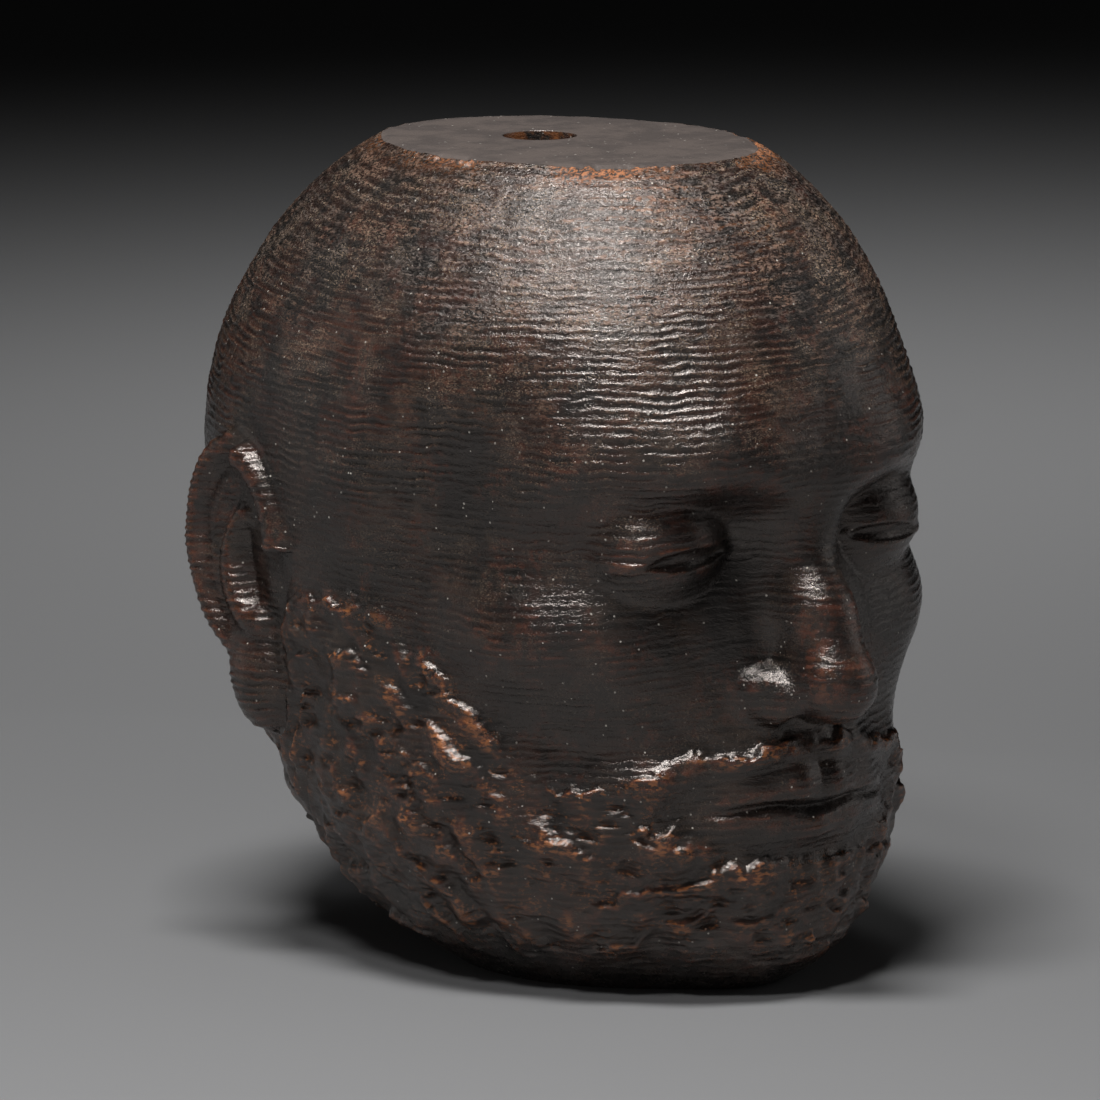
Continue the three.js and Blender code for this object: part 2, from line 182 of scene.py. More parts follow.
def skull_and_jaw(point):
    skull_radii = (HALF_WIDTH, HALF_DEPTH, SKULL_REACH)
    skull = ball(sloped(point, SKULL_SLOPE, SKULL_LEVEL), (0, 0, SKULL_LEVEL), skull_radii)
    jaw_centre = (0, JAW_FORWARD_SHARE * HALF_DEPTH, JAW_LEVEL)
    jaw_radii = (JAW_WIDTH / 2, JAW_DEPTH / 2, JAW_REACH)
    jaw = ball(sloped(point, JAW_SLOPE, JAW_LEVEL), jaw_centre, jaw_radii)
    return blend(skull, jaw, JAW_SEAM_SHARE * FACE_THIRD)


# Stops along the brow are (bearing, share of a face third).
BROW_LEVEL_SHARES = [(0, 1.97), (16, 2.05), (34, 2.04), (56, 1.78)]
BROW_RISE_SHARES = [(0, 0.045), (15, 0.09), (36, 0.045), (56, 0)]
BROW_SPREAD_ABOVE = 0.17
BROW_SPREAD_BELOW = 0.11


def with_brow(solid, point):
    level = CHIN_LEVEL + FACE_THIRD * ease(bearing(point), BROW_LEVEL_SHARES)
    rise = FACE_THIRD * ease(bearing(point), BROW_RISE_SHARES)
    spread = FACE_THIRD * np.where(point[2] > level, BROW_SPREAD_ABOVE, BROW_SPREAD_BELOW)
    return solid - rise * np.exp(-0.5 * ((point[2] - level) / spread) ** 2)


# The eye in shares of its width. A lid's edge has a level, an arch and a slant towards the outer corner.
EYE_PLACE_SHARES = (0.4, 0.745, 1.71)
EYEBALL_SHARES = (0.52, 0.47, 0.43)
EYEBALL_SEAM_SHARE = 0.16
LID_SHARES = (0.59, 0.535, 0.485)
LID_EDGE_SHARE = 0.03
UPPER_LID = {"level": -0.11, "arch": 0.1, "slant": -0.03, "seam": 0.08}
LOWER_LID = {"level": -0.12, "arch": -0.05, "slant": -0.03, "seam": 0.12}


def with_eye(solid, point):
    centre = place(*EYE_PLACE_SHARES)
    along = (point[0] - centre[0]) / (EYE_WIDTH / 2)
    shell = ball(point, centre, sized(LID_SHARES, EYE_WIDTH))
    eyeball = ball(point, centre, sized(EYEBALL_SHARES, EYE_WIDTH))
    eye = blend(solid, eyeball, EYEBALL_SEAM_SHARE * EYE_WIDTH)
    for lid, side in ((UPPER_LID, 1), (LOWER_LID, -1)):
        rise = lid["level"] + lid["arch"] * (1 - along * along) + lid["slant"] * along
        edge = centre[2] + EYE_WIDTH * rise
        skin_of_lid = carve(shell, side * (point[2] - edge), LID_EDGE_SHARE * EYE_WIDTH)
        eye = blend(eye, skin_of_lid, lid["seam"] * EYE_WIDTH)
    return eye


# The nose: its bridge is a bent rod, and its other masses have radii and seams in nose widths.
BRIDGE_SHARES = [(0, 0.86, 1.95), (0, 0.9, 1.74), (0, 0.99, 1.44), (0, 1.055, 1.2)]
BRIDGE_RADII_SHARES = (0.24, 0.2, 0.25, 0.28)
BRIDGE_BEND_SHARE = 0.2
BRIDGE_SEAM_SHARE = 0.26
NOSE_TIP = {"at": (0, 1.055, 1.145), "radii": (0.33, 0.29, 0.25), "seam": 0.14}
NOSE_WING = {"at": (0.172, 0.955, 1.11), "radii": (0.21, 0.33, 0.22), "seam": 0.1, "turn": 18}
NOSTRIL = {"at": (0.086, 1.03, 0.965), "radii": (0.12, 0.19, 0.11), "seam": 0.08, "turn": 18, "cut": True}


def with_nose(solid, point):
    stops = [place(*stop) for stop in BRIDGE_SHARES]
    bridge = chain(point, stops, sized(BRIDGE_RADII_SHARES, NOSE_WIDTH), BRIDGE_BEND_SHARE * NOSE_WIDTH)
    nose = blend(solid, bridge, BRIDGE_SEAM_SHARE * NOSE_WIDTH)
    for mass in (NOSE_TIP, NOSE_WING, NOSTRIL):
        nose = with_mass(nose, point, **mass, unit=NOSE_WIDTH)
    return nose


# The mouth: the line between the lips, then the muzzle, the folds beside it, the lips and their groove
LINE_LEVEL_SHARE = 0.682
LINE_DIP_SHARE = 0.012
LINE_DROOP_SHARE = 0.028
LINE_DEPTH_SHARE = 0.045
LINE_SPREAD_SHARE = 0.026
LINE_END_SHARE = 1.08


def mouth_line(point):
    """How deep the line between the lips is cut"""
    x, f, z = point
    along = x / (MOUTH_WIDTH / 2)
    bend = LINE_DIP_SHARE * np.cos(math.pi * np.minimum(2 * along, 1)) + LINE_DROOP_SHARE * along * along
    level = CHIN_LEVEL + FACE_THIRD * (LINE_LEVEL_SHARE - bend)
    fade = np.where(f > 0, np.sqrt(np.maximum(LINE_END_SHARE - along, 0)), 0)
    off_line = (z - level) / (LINE_SPREAD_SHARE * MOUTH_WIDTH)
    return LINE_DEPTH_SHARE * MOUTH_WIDTH * fade * np.exp(-(off_line ** 2))


MUZZLE = {"at": (0, 0.725, 0.7), "radii": (0.53, 0.4, 0.4), "seam": 0.18}
FOLD_SHARES = [(0.27, 1.045, 1.12), (0.4, 0.975, 0.92), (0.48, 0.93, 0.64)]
FOLD_RADII_SHARES = (0.065, 0.07, 0.04)
FOLD_BEND_SHARE = 0.07
FOLD_SEAM_SHARE = 0.17
UPPER_LIP_SHARES = [(0, 0.965, 0.745), (0.065, 0.967, 0.762), (0.18, 0.915, 0.735), (0.31, 0.815, 0.69)]
UPPER_LIP_RADII_SHARES = (0.08, 0.088, 0.08, 0.04)
UPPER_LIP_SEAM_SHARE = 0.075
LOWER_LIP_SHARES = [(0, 0.955, 0.6), (0.13, 0.925, 0.605), (0.29, 0.82, 0.66)]
LOWER_LIP_RADII_SHARES = (0.104, 0.094, 0.04)
LOWER_LIP_SEAM_SHARE = 0.07
LIP_BEND_SHARE = 0.05
LIP_GROOVE_SHARES = [(0, 1.055, 0.96), (0, 1.065, 0.83)]
LIP_GROOVE_RADII_SHARES = (0.04, 0.05)
LIP_GROOVE_SEAM_SHARE = 0.06


def with_mouth(solid, point):
    def lip(stops, radii_shares):
        radii = sized(radii_shares, MOUTH_WIDTH)
        return chain(point, [place(*stop) for stop in stops], radii, LIP_BEND_SHARE * MOUTH_WIDTH)

    mouth = with_mass(solid, point, **MUZZLE)
    fold_radii = sized(FOLD_RADII_SHARES, FACE_THIRD)
    folds = chain(point, [place(*stop) for stop in FOLD_SHARES], fold_radii, FOLD_BEND_SHARE * FACE_THIRD)
    mouth = carve(mouth, folds, FOLD_SEAM_SHARE * FACE_THIRD)
    mouth = blend(mouth, lip(UPPER_LIP_SHARES, UPPER_LIP_RADII_SHARES), UPPER_LIP_SEAM_SHARE * MOUTH_WIDTH)
    mouth = blend(mouth, lip(LOWER_LIP_SHARES, LOWER_LIP_RADII_SHARES), LOWER_LIP_SEAM_SHARE * MOUTH_WIDTH)
    mouth = mouth + mouth_line(point)
    groove_ends = (place(*stop) for stop in LIP_GROOVE_SHARES)
    groove = rod(point, *groove_ends, sized(LIP_GROOVE_RADII_SHARES, MOUTH_WIDTH))
    return carve(mouth, groove, LIP_GROOVE_SEAM_SHARE * MOUTH_WIDTH)


# The beard's upper edge, as (bearing, share of a face third), and the bare patch round the mouth
BEARD_EDGE_SHARES = [
    (0, 0.96), (12, 0.9), (34, 0.8), (80, 1.42), (94, 1.42), (112, 0.86), (138, 0.8), (165, -0.1),
]
BEARD_FADE_SHARE = 0.24
BARE_LEVEL_SHARE = 0.67
BARE_HEIGHT_SHARE = 0.17
BARE_WIDTH_SHARE = 0.56


def beard_edge(point):
    return CHIN_LEVEL + FACE_THIRD * ease(bearing(point), BEARD_EDGE_SHARES)


def beard_cover(point):
    """1 where the beard grows and 0 on bare skin"""
    below = ramp((beard_edge(point) - point[2]) / (BEARD_FADE_SHARE * FACE_THIRD) + 0.5)
    across = point[0] / (BARE_WIDTH_SHARE * MOUTH_WIDTH)
    up = (point[2] - CHIN_LEVEL - BARE_LEVEL_SHARE * FACE_THIRD) / (BARE_HEIGHT_SHARE * FACE_THIRD)
    return below * ramp((np.sqrt(across * across + up * up) - 1) * 2)


# The ear in shares of its relief, width and height. A rolled edge is an arc with a middle, a reach, its
# first and last angle and a radius at each end, in ear widths. A form's last number is its seam's share.
EAR_PLACE_SHARES = (0.895, -0.31, 1.44)
EAR_TURN = -12
EAR_TILT = -7
EAR_SHELL = ((-0.3, 0.02, 0.07), (1, 0.47, 0.43))
EAR_LOBE = ((0.3, -0.06, -0.375), (0.75, 0.27, 0.19), 0.18)
EAR_RIM = ((0.33, 0.02, 0.09), (0.41, 0.37), (-70, 165), (0.075, 0.1), 0.06)
EAR_BOWL = ((0.95, -0.03, 0.05), (0.85, 0.28, 0.27), 0.07)
EAR_INNER_FOLD = ((0.42, -0.1, 0.02), (0.21, 0.2), (-85, 75), (0.125, 0.08), 0.05)
EAR_FRONT_ROLL = ((0.95, 0.0, 0.09), (0.41, 0.36), (112, 208), (0.1, 0.14), 0.05)
EAR_FLAP = ((0.3, -0.34, -0.06), (0.42, 0.11, 0.095), 0.08)
EAR_SEAM_SHARE = 0.08


def ear(point):
    centre = place(*EAR_PLACE_SHARES)
    out, back = turned(point[0] - centre[0], centre[1] - point[1], EAR_TURN)
    back, up = turned(back, point[2] - centre[2], EAR_TILT)
    local = (out, back, up)

    def at(n, b, w):
        return n * EAR_RELIEF, b * EAR_WIDTH, w * EAR_HEIGHT

    def form(join, solid, centre_shares, radii_shares, seam_share):
        return join(solid, ball(local, at(*centre_shares), at(*radii_shares)), seam_share * EAR_WIDTH)

    def rolled(solid, at_shares, reach_shares, angles, radii_shares, seam_share):
        size = reach_shares[0] * EAR_WIDTH, reach_shares[1] * EAR_HEIGHT
        arc = bow(local, at(*at_shares), size, angles, sized(radii_shares, EAR_WIDTH))
        return blend(solid, arc, seam_share * EAR_WIDTH)

    shell = ball(local, *(at(*shares) for shares in EAR_SHELL))
    solid = form(blend, shell, *EAR_LOBE)
    solid = rolled(solid, *EAR_RIM)
    solid = form(carve, solid, *EAR_BOWL)
    solid = rolled(solid, *EAR_INNER_FOLD)
    solid = rolled(solid, *EAR_FRONT_ROLL)
    return form(blend, solid, *EAR_FLAP)


# The face's other masses, in face thirds
FACE_BLOCK = {"at": (0, 0.52, 0.98), "radii": (0.76, 0.68, 0.98), "seam": 0.24}
TEMPLE = {"at": (1.15, 0.58, 1.88), "radii": (0.3, 0.42, 0.38), "seam": 0.36, "cut": True}
CHEEK_BONE = {"at": (0.52, 0.55, 1.33), "radii": (0.4, 0.36, 0.25), "seam": 0.3, "turn": 38, "roll": -10}
CHEEK_HOLLOW = {"at": (0.94, 0.85, 0.9), "radii": (0.22, 0.34, 0.36), "seam": 0.36, "cut": True}
EYE_SOCKET = {"at": (0.4, 1.05, 1.7), "radii": (0.36, 0.37, 0.24), "seam": 0.16, "turn": 22, "cut": True}
CHIN_FOLD = {"at": (0, 1.06, 0.43), "radii": (0.32, 0.12, 0.07), "seam": 0.12, "cut": True}
CHIN = {"at": (0, 0.735, 0.23), "radii": (0.37, 0.35, 0.27), "seam": 0.18}


def carving(point):
    """The whole head, with both halves alike"""
    point = (np.abs(point[0]), point[1], point[2])
    solid = skull_and_jaw(point)
    for mass in (FACE_BLOCK, TEMPLE, CHEEK_BONE, CHEEK_HOLLOW, EYE_SOCKET):
        solid = with_mass(solid, point, **mass)
    for feature in (with_brow, with_eye, with_nose, with_mouth):
        solid = feature(solid, point)
    for mass in (CHIN_FOLD, CHIN):
        solid = with_mass(solid, point, **mass)
    solid = solid - BEARD_THICKNESS * beard_cover(point)
    return blend(solid, ear(point), EAR_SEAM_SHARE * EAR_WIDTH)


# The skin is a grid of points: columns round the head, closer together on the face and ears, and rows from
# the foot's edge to the crown's. One half is found by walking in along lines of sight, and is then mirrored.
HALF_COLUMNS = 400
ROWS = 960
COARSE_SHARE = 0.25         # the first pass has this share of the columns and rows
START_SHARE = 0.7           # of the head's depth at which the first pass starts
STEP_SHARE = 0.6            # of the gap to the carving that each step takes
COARSE_STEPS = 45
FINE_STEPS = 18
FINE_LEAD = 0.0005          # how far outside the coarse skin the second pass starts
STATION_PARTS = 20          # how finely the crowding is added up
FACE_CROWD = {"middle": 0, "spread": 32, "extra": 1.2}
EAR_CROWD = {"middle": 106, "spread": 20, "extra": 1.3}


def stations(count):
    """Bearings from 0 to 180 degrees, closer together on the face and the ear"""
    fine = np.linspace(0, 180, STATION_PARTS * count)
    weight = np.ones_like(fine)
    for crowd in (FACE_CROWD, EAR_CROWD):
        weight += crowd["extra"] * np.exp(-(((fine - crowd["middle"]) / crowd["spread"]) ** 4))
    counted = np.cumsum(weight)
    wanted = np.linspace(counted[0], counted[-1], count)
    return np.interp(wanted, counted, fine)


def walk(origin, direction, reach, steps):
    for _ in range(steps):
        gap = carving([start + way * reach for start, way in zip(origin, direction)])
        reach = reach - STEP_SHARE * gap
    return reach


def sights(columns, rows):
    """The lines of sight from the head's middle to between the foot's and the crown's edge"""
    side = np.radians(stations(columns))
    flat = np.sin(side), np.cos(side), np.zeros(columns)
    start = np.full(columns, HALF_DEPTH)
    foot, crown = (walk((0, 0, level), flat, start, COARSE_STEPS) for level in (0, BEAD_HEIGHT))
    lowest = np.arctan2(-MIDDLE[2], foot)
    highest = np.arctan2(BEAD_HEIGHT - MIDDLE[2], crown)
    rise = lowest + (highest - lowest) * np.linspace(0, 1, rows)[:, None]
    return (flat[0] * np.cos(rise), flat[1] * np.cos(rise), np.sin(rise))


def widest_near(grid):
    """Each value becomes the largest of those around it"""
    padded = np.pad(grid, 1, mode="edge")
    shifts = itertools.product(range(3), repeat=2)
    return np.max([padded[i:i + grid.shape[0], j:j + grid.shape[1]] for i, j in shifts], axis=0)


def resampled(grid, rows, columns):
    row = np.linspace(0, grid.shape[0] - 1, rows)
    column = np.interp(stations(columns), stations(grid.shape[1]), np.arange(grid.shape[1]))
    down = np.array([np.interp(row, np.arange(grid.shape[0]), line) for line in grid.T]).T
    return np.array([np.interp(column, np.arange(grid.shape[1]), line) for line in down])


def half_skin():
    coarse_columns, coarse_rows = int(HALF_COLUMNS * COARSE_SHARE), int(ROWS * COARSE_SHARE)
    coarse_sight = sights(coarse_columns, coarse_rows)
    start = np.full((coarse_rows, coarse_columns), HEAD_DEPTH * START_SHARE)
    reach = widest_near(walk(MIDDLE, coarse_sight, start, COARSE_STEPS))
    sight = sights(HALF_COLUMNS, ROWS)
    reach = walk(MIDDLE, sight, resampled(reach, ROWS, HALF_COLUMNS) + FINE_LEAD, FINE_STEPS)
    return np.stack([start + way * reach for start, way in zip(MIDDLE, sight)], axis=-1)


half = half_skin()
mirrored = half[:, -2:0:-1] * (-1, 1, 1)
skin = np.concatenate([half, mirrored], axis=1)
skin[0, :, 2] = 0
skin[-1, :, 2] = BEAD_HEIGHT
COLUMNS = skin.shape[1]
setback = (skin[..., 1].max() + skin[..., 1].min()) / 2


# Seeded noise from -1 to 1, in lumps of about the given size, or of (across, forward, up) sizes
TABLE_CELLS = 64
NOISE_TABLE = np.random.default_rng(11).uniform(-1, 1, (TABLE_CELLS,) * 3)
SPOT_TABLE = np.random.default_rng(12).uniform(0, 1, (4,) + (TABLE_CELLS,) * 3)
NOISE_SHIFTS = (0.37, 0.71, 0.13)       # each seed moves along the table by these shares of the stride
NOISE_STRIDE = 17
SPOT_SHIFT = 7.3


def noise(point, size, seed=0):
    cells, parts = [], []
    for value, step, shift in zip(point, np.broadcast_to(size, 3), NOISE_SHIFTS):
        scaled = value / step + shift * (seed + 1) * NOISE_STRIDE
        cell = np.floor(scaled)
        cells.append(cell.astype(int))
        parts.append(ramp(scaled - cell))
    total = 0
    for corner in itertools.product((0, 1), repeat=3):
        weight = 1
        for part, upper in zip(parts, corner):
            weight = weight * (part if upper else 1 - part)
        index = tuple((cell + upper) % TABLE_CELLS for cell, upper in zip(cells, corner))
        total = total + weight * NOISE_TABLE[index]
    return total


def spots(point, size, seed=0):
    """How far points are from the nearest of scattered spots, how far above it, and the spot's own number"""
    sizes = np.broadcast_to(size, 3)
    scaled = [value / step + SPOT_SHIFT * (seed + 1) for value, step in zip(point, sizes)]
    cells = [np.floor(value).astype(int) for value in scaled]
    nearest = np.full(np.shape(scaled[0]), np.inf)
    number = np.zeros(np.shape(scaled[0]))
    above = np.zeros(np.shape(scaled[0]))
    for shift in itertools.product((-1, 0, 1), repeat=3):
        index = tuple((cell + step) % TABLE_CELLS for cell, step in zip(cells, shift))
        offsets = [scaled[axis] - cells[axis] - shift[axis] - SPOT_TABLE[axis][index] for axis in range(3)]
        away = offsets[0] ** 2 + offsets[1] ** 2 + offsets[2] ** 2
        closer = away < nearest
        nearest = np.where(closer, away, nearest)
        above = np.where(closer, offsets[2], above)
        number = np.where(closer, SPOT_TABLE[3][index], number)
    return np.sqrt(nearest), above, number


def scattered(point, size, seed, middle, swing):
    """1 in some patches of about the given size, and down to 0 in others"""
    return ramp(middle + swing * noise(point, size, seed))


def mound(away, reach):
    return np.exp(-((away / reach) ** 2))


def waves(turns, sharpness):
    """Crests of height 1 in turns of a wave, the narrower the sharper"""
    return (0.5 + 0.5 * np.sin(2 * math.pi * turns)) ** sharpness


# Where the marks lie: on the ear and the beard, off the foot, and on the skin that hands have worn
EAR_FADE = 0.0004
FOOT_FADE = 0.0012
BEARD_LOW = 0.0005          # the beard's marks start above this level
BEARD_LOW_FADE = 0.0016
WORN_LEVEL = 0.0165
WORN_FADE = 0.005
WORN_PATCH = 0.0026
FIBROUS_LEVEL = 0.0193
FIBROUS_FADE = 0.003
FIBROUS_PATCH = 0.0022

point = [skin[..., axis] for axis in range(3)]
half_point = (np.abs(point[0]), point[1], point[2])
on_ear = ramp(1 - ear(half_point) / EAR_FADE)
cover = beard_cover(half_point) * (1 - on_ear)
near_crown = BEAD_HEIGHT - point[2]
off_foot = ramp(point[2] / FOOT_FADE)
off_low = ramp((point[2] - BEARD_LOW) / BEARD_LOW_FADE)
worn = ramp((point[2] - WORN_LEVEL) / WORN_FADE + 0.6 + 0.6 * noise(point, WORN_PATCH, 10))
fibrous = ramp((point[2] - FIBROUS_LEVEL) / FIBROUS_FADE + 0.5 + 0.5 * noise(point, FIBROUS_PATCH, 20))

# Growth ridges: the wood's layers cross the whole block, tilted a little, wavering and broken into dashes
RIDGE_PITCH = 0.00024
RIDGE_SHARPNESS = 2.2
RIDGE_TILT = (0.05, -0.03)
RIDGE_WAVER = [(0.8, 0.006), (0.25, 0.0018), (0.3, 0.00045)]    # pitches of waver in lumps of each size
RIDGE_PATCH = (0.004, 0.004, 0.0025)
RIDGE_DASH = (0.0007, 0.0007, RIDGE_PITCH)
RIDGE_HIGH = 0.0042         # within this of the crown they are rubbed lower
RIDGE_HIGH_FADE = 0.003

lean = RIDGE_TILT[0] * point[0] + RIDGE_TILT[1] * point[1]
waver = sum(pitches * noise(point, size) for pitches, size in RIDGE_WAVER)
crest = waves((point[2] - lean) / RIDGE_PITCH + waver, RIDGE_SHARPNESS)
patch = scattered(point, RIDGE_PATCH, 1, 0.55, 0.9)
dash = scattered(point, RIDGE_DASH, 2, 0.55, 1.5)
high = ramp((RIDGE_HIGH - near_crown) / RIDGE_HIGH_FADE)
zone = np.maximum(0.5 + 0.5 * worn, on_ear) * (1 - 0.4 * high)
ridged = (0.55 + 0.45 * patch) * (0.3 + 0.7 * dash) * zone * off_foot

# Beard: pits struck with a round punch, tufts in ragged rows, higher at their upper end, and combed locks
PIT_SPACING = 0.00085
PIT_REACH = (0.26, 0.2)     # in spacings, for the least pit and how much the largest adds
PIT_SWAY = 0.00012
PIT_SWAY_SIZE = 0.0004
PIT_PATCH = 0.0021
LUMP_SPACING = PIT_SPACING * 1.3
LUMP_REACH = 0.45
TUFT_ROW = 0.0016
TUFT_WIDTH = 0.001
TUFT_LIP = 0.14             # share of a row over which a tuft rises to its edge
TUFT_GAPS = (0.0011, 0.0011, 0.0016)
TUFT_SIZE = (TUFT_WIDTH, TUFT_WIDTH, 2 * TUFT_WIDTH)
RAGGED = [(0.00045, TUFT_SIZE, 22), (0.00025, 0.00045, 23), (0.00012, 0.0002, 25)]
LOCK_PITCH = 0.0013
LOCK_SLANT = 0.75
LOCK_SHARPNESS = 1.5
LOCK_PATCH = 0.0019
LOCK_WAVER = [(0.6, 0.0024, 11), (0.2, 0.0008, 18)]
LOCK_FRONT = 20             # the locks start to slant so many degrees from the face's middle
LOCK_FRONT_FADE = 50

swayed = [value + PIT_SWAY * noise(point, PIT_SWAY_SIZE, 15 + axis) for axis, value in enumerate(point)]
away, above, number = spots(swayed, (PIT_SPACING, PIT_SPACING, PIT_SPACING * 0.8))
crowded = scattered(point, PIT_PATCH, 21, 0.75, 1.1)
pit = cover * crowded * off_low * mound(away, PIT_REACH[0] + PIT_REACH[1] * number) * ramp(number * 4)
pit *= ramp((above + 0.1) / 0.35 + 0.5)
lump_away, _, _ = spots(point, LUMP_SPACING, 1)
lump = cover * off_low * mound(lump_away, LUMP_REACH)
ragged = sum(amount * noise(point, size, seed) for amount, size, seed in RAGGED)
rows_in = (beard_edge(half_point) + ragged - point[2]) / TUFT_ROW
row_share = rows_in - np.floor(rows_in)
tuft = np.where(rows_in > 0, ramp(row_share / TUFT_LIP) * (1 - row_share), 0)
tuft *= np.minimum(2 * cover, 1) * off_low * scattered(point, TUFT_GAPS, 24, 0.55, 1.2)
slant = LOCK_SLANT * point[2] * ramp((bearing(point) - LOCK_FRONT) / LOCK_FRONT_FADE)
across_locks = HALF_WIDTH * np.radians(bearing(point)) - slant
lock_waver = sum(pitches * noise(point, size, seed) for pitches, size, seed in LOCK_WAVER)
lock = waves(across_locks / LOCK_PITCH + lock_waver, LOCK_SHARPNESS) - 0.4
lock *= cover * off_low * scattered(point, LOCK_PATCH, 19, 0.6, 0.9)

# The crown's edge, chipped all round and frayed most over the forehead and the head's left side
CHIP_REACH = 0.00022
FRAY_REACH = 0.00035
STREAK_REACH = 0.002
FRONT_LEFT_FADE = 0.008
BREAK_SIZES = (0.0022, 0.0005)
CHIP_SIZE = (0.0002, 0.0002, 0.0004)
STREAK_PATCH = 0.0025

crown_edge = mound(near_crown, CHIP_REACH)
broken = ramp(0.35 + 1.2 * noise(point, BREAK_SIZES[0], 3) + 0.5 * noise(point, BREAK_SIZES[1], 9))
front_left = ramp(0.5 + (point[1] + 0.6 * point[0]) / FRONT_LEFT_FADE)
fray = mound(near_crown, FRAY_REACH) * (0.25 + 0.75 * front_left) * broken
chip = crown_edge * (0.25 + 0.75 * broken) * (0.6 + 0.4 * noise(point, CHIP_SIZE, 4))
streak = mound(near_crown, STREAK_REACH) * front_left * scattered(point, STREAK_PATCH, 13, 0.3, 0.9) * crest

# All these as heights along the skin's outward normal, with the hollows that strokes of the knife leave
HAND_RELIEF = 0.00006
HAND_SIZES = (0.0023, 0.0009)
DENT_RELIEF = 0.000012
DENT_SIZE = (0.00035, 0.00035, 0.0002)
GRAIN_RELIEF = 0.0000045
GRAIN_SIZE = (0.0004, 0.0004, 0.00006)
RIDGE_RELIEF = 0.000042
PIT_DEPTH = 0.00019
LUMP_RELIEF = 0.00017
LOCK_RELIEF = 0.00008
TUFT_RELIEF = 0.00024
CLUMP_RELIEF = 0.00013
CLUMP_SIZE = (0.0015, 0.0015, 0.0011)
CHIP_DEPTH = 0.00012
FRAY_RELIEF = 0.0001
FRAY_SIZE = 0.00018

strokes = noise(point, HAND_SIZES[0], 5) + (0.6 - 0.35 * worn) * noise(point, HAND_SIZES[1], 6)
height = HAND_RELIEF * strokes * off_foot
height += DENT_RELIEF * noise(point, DENT_SIZE, 7) * (0.4 + 0.6 * worn)
height += GRAIN_RELIEF * noise(point, GRAIN_SIZE, 8) * (0.6 + 0.4 * worn)
height += RIDGE_RELIEF * ridged * (crest - 0.4)
height += LUMP_RELIEF * lump - PIT_DEPTH * pit + LOCK_RELIEF * lock + TUFT_RELIEF * tuft
height += CLUMP_RELIEF * cover * noise(point, CLUMP_SIZE, 12) * off_low
height *= 1 - crown_edge
height += FRAY_RELIEF * fray * (noise(point, FRAY_SIZE, 14) - 0.4) - CHIP_DEPTH * chip


def normals(grid):
    up_rows = np.gradient(grid, axis=0)
    wrapped = np.concatenate([grid[:, -1:], grid, grid[:, :1]], axis=1)
    across = (wrapped[:, 2:] - wrapped[:, :-2]) / 2
    square = np.cross(up_rows, across)
    return square / np.linalg.norm(square, axis=-1, keepdims=True)


outward = normals(skin)
skin = skin + outward * height[..., None]
skin[0, :, 2] = 0
skin[..., 2] = np.clip(skin[..., 2], 0, BEAD_HEIGHT)


def smoothed(grid, rows, columns):
    """Box-blurred over so many rows and columns to each side"""
    padded = np.pad(grid, ((rows + 1, rows), (0, 0), (0, 0)), mode="edge").cumsum(axis=0)
    grid = (padded[2 * rows + 1:] - padded[:-2 * rows - 1]) / (2 * rows + 1)
    padded = np.pad(grid, ((0, 0), (columns + 1, columns), (0, 0)), mode="wrap").cumsum(axis=1)
    return (padded[:, 2 * columns + 1:] - padded[:, :-2 * columns - 1]) / (2 * columns + 1)


# How far each point stands out from the skin around it
AROUND_ROWS = ROWS // 60
AROUND_COLUMNS = COLUMNS // 100
standing = np.sum((skin - smoothed(skin, AROUND_ROWS, AROUND_COLUMNS)) * outward, axis=-1)

# The crown, the bore and the foot close the grid: rows run in across the crown, down the bore and out.
FLAT_ROWS = 16
BORE_ROWS = 40
EDGE_DROP = 2.0             # how fast the crown's broken edge levels out inwards, in each row
side = np.arctan2(skin[-1, :, 0], skin[-1, :, 1])
bore_run = BEAD_HEIGHT * math.tan(math.radians(BORE_LEAN))
mouth_across = BORE_RADIUS * np.sin(side)
mouth_forward = BORE_RADIUS * np.cos(side) - BORE_SETBACK
mouth_ring = np.stack([mouth_across, mouth_forward, np.full_like(side, BEAD_HEIGHT)], -1)
exit_ring = mouth_ring + (0, bore_run, -BEAD_HEIGHT)


def rings(start, end, count):
    """Rings of points between two rings, closer together at both ends"""
    return np.array([start + (end - start) * share for share in ramp(np.linspace(0, 1, count + 2)[1:-1])])


crown_rows = rings(skin[-1], mouth_ring, FLAT_ROWS)
levelling = np.exp(-np.arange(FLAT_ROWS) * EDGE_DROP)[:, None]
crown_rows[..., 2] = BEAD_HEIGHT + (skin[-1, :, 2] - BEAD_HEIGHT) * levelling
bore_rows = rings(mouth_ring, exit_ring, BORE_ROWS)
foot_rows = rings(exit_ring, skin[0], FLAT_ROWS)
grid = np.concatenate([skin, crown_rows, mouth_ring[None], bore_rows, exit_ring[None], foot_rows])
grid = np.stack([grid[..., 0], setback - grid[..., 1], grid[..., 2]], axis=-1)


